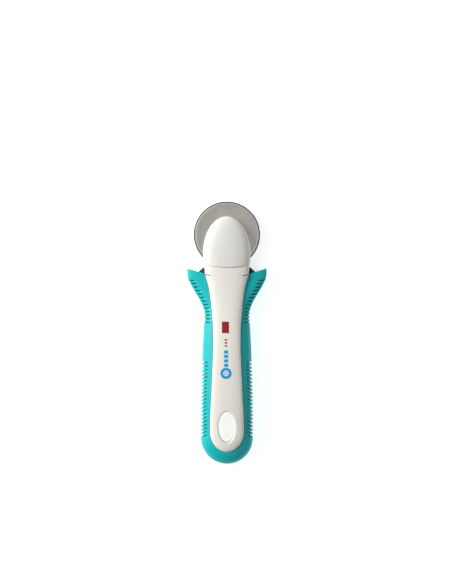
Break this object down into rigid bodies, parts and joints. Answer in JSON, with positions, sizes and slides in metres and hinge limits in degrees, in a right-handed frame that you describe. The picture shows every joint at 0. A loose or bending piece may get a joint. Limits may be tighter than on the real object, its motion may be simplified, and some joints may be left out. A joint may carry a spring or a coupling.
{
  "type": "rotary cutter",
  "caption": "Hand-held rotary cutter for fabric: round steel blade on an axle, sliding black guard, flared two-colour handle with notched soft grip and a hanging hole.",
  "frame": {"origin": "middle of the footprint on the table, with the tool lying on its flat back", "axes": "+Y along the handle towards the blade, +Z out of the printed front, X across and symmetric"},
  "size_m": [0.0558, 0.1842, 0.022],
  "materials": {
    "shell_white": "gloss",
    "grip_turquoise": "satin",
    "blade_steel": "ground and polished",
    "guard_black": "satin",
    "hardware_steel": "zinc plated",
    "brass": "machined",
    "nylon": "matte"
  },
  "bodies": {
    "handle": {"front_shell": "shell_white", "head_cap": "shell_white", "front_grip": "grip_turquoise", "rear_shell": "shell_white", "rear_grip": "grip_turquoise", "case_screws": "hardware_steel", "axle_bolt": "hardware_steel", "blade_bush": "brass", "friction_washer": "nylon", "detent_spring": "hardware_steel"},
    "blade": {"blade": "blade_steel"},
    "guard": {"guard": "guard_black", "slide_carriage": "guard_black", "slide_button": "guard_black", "slide_pad": "grip_turquoise", "slide_screw": "hardware_steel"},
    "washers": {"flat_washer": "hardware_steel", "spring_washer": "hardware_steel"},
    "nut": {"nut_knob": "guard_black", "nut_insert": "brass"}
  },
  "joints": [
    {"name": "blade_spin", "type": "hinge", "parent": "handle", "child": "blade", "pos_m": [0, 0.0688, 0.0096], "axis": [0, 0, 1], "continuous": true},
    {"name": "guard_slide", "type": "slide", "parent": "handle", "child": "guard", "axis": [0, -1, 0], "range_m": [0, 0.011]},
    {"name": "nut_lift", "type": "slide", "parent": "handle", "child": "washers", "axis": [0, 0, -1], "range_m": [0, 0.003]},
    {"name": "nut_turn", "type": "hinge", "parent": "washers", "child": "nut", "pos_m": [0, 0.0688, 0.003], "axis": [0, 0, 1], "range_deg": [0, 1080]}
  ],
  "couplings": [
    {"joint": "nut_lift", "follows": "nut_turn", "m_per_rad": 0.00015915}
  ]
}
